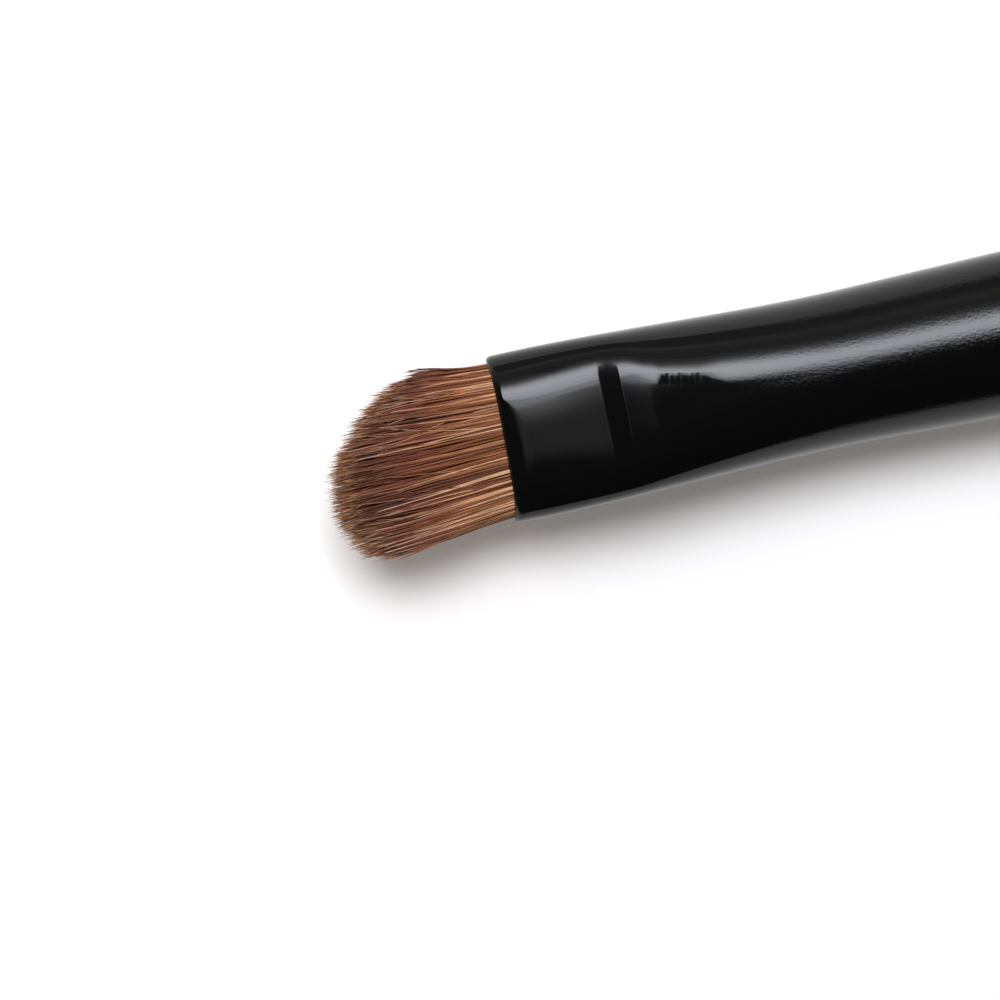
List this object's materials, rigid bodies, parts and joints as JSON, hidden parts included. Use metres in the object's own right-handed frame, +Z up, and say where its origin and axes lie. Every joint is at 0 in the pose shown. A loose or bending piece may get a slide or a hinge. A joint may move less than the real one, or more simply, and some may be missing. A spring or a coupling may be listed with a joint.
{
  "type": "domed eyeliner brush",
  "caption": "Slim eyeliner and smudging brush: short flat domed hair tuft in a black ferrule pressed flat at its mouth, on a tapered black lacquered handle.",
  "frame": {"origin": "on the ground under the middle of the whole brush as it lies at rest on its belly and its tail, flat side of the tuft up", "axes": "+X towards the handle's tail, -X towards the hair tips, Y across the flat tuft, +Z up from the ground; the brush's own axis falls 0.94 degrees towards the tail"},
  "size_m": [0.1654, 0.0092, 0.0092],
  "materials": {
    "hair": "matte",
    "thread": "matte",
    "epoxy": "gloss",
    "ferrule_lacquer": "gloss",
    "handle_lacquer": "gloss",
    "wood_glue": "matte"
  },
  "bodies": {
    "root": {"hair_tuft": "hair", "binding_thread": "thread", "root_glue": "epoxy", "ferrule": "ferrule_lacquer", "handle": "handle_lacquer", "handle_glue": "wood_glue"}
  },
  "joints": []
}
